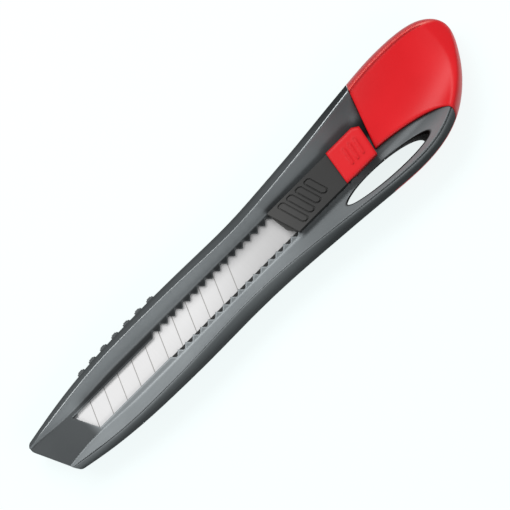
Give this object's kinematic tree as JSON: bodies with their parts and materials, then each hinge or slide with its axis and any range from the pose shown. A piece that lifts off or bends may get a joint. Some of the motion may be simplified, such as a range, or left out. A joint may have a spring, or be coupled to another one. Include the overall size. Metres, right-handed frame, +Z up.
{
  "type": "utility knife",
  "caption": "Snap-off utility knife with a dished two-shell handle, scored blade on a thumb slider, sliding lock and pull-off end cap with a loop hole.",
  "frame": {"origin": "on the flat back of the handle, under the middle of the knife's length", "axes": "+X along the handle towards the blade tip, +Y towards the cutting edge and the loop hole, +Z up out of the dished top where the thumb slider is"},
  "size_m": [0.1528, 0.03, 0.0128],
  "materials": {
    "grey_plastic": "satin slate grey moulded plastic",
    "red_plastic": "semi-gloss red moulded plastic",
    "black_plastic": "matte black moulded plastic",
    "steel": "plain stamped stainless steel",
    "blade_steel": "bright ground blade steel"
  },
  "bodies": {
    "handle": {"upper_shell": "grey_plastic", "lower_shell": "grey_plastic", "blade_tray": "steel"},
    "carriage": {"thumb_slider": "black_plastic", "slider_rivets": "steel", "blade_carrier": "steel", "carrier_pin": "steel", "snap_blade": "blade_steel"},
    "lock": {"lock_button": "red_plastic"},
    "left_pawl": {"pawl_left": "steel"},
    "right_pawl": {"pawl_right": "steel"},
    "cap": {"end_cap": "red_plastic"}
  },
  "joints": [
    {"name": "slider_slide", "type": "slide", "parent": "handle", "child": "carriage", "axis": [1, 0, 0], "range_m": [0, 0.06006]},
    {"name": "lock_slide", "type": "slide", "parent": "carriage", "child": "lock", "axis": [1, 0, 0], "range_m": [0, 0.0024]},
    {"name": "left_pawl_slide", "type": "slide", "parent": "carriage", "child": "left_pawl", "axis": [0, -1, 0], "range_m": [0, 0.0008]},
    {"name": "right_pawl_slide", "type": "slide", "parent": "carriage", "child": "right_pawl", "axis": [0, 1, 0], "range_m": [0, 0.0008]},
    {"name": "cap_pull", "type": "slide", "parent": "handle", "child": "cap", "axis": [-1, 0, 0], "range_m": [0, 0.028]}
  ],
  "couplings": [
    {"joint": "left_pawl_slide", "follows": "lock_slide", "ratio": 0.3333},
    {"joint": "right_pawl_slide", "follows": "lock_slide", "ratio": 0.3333}
  ]
}
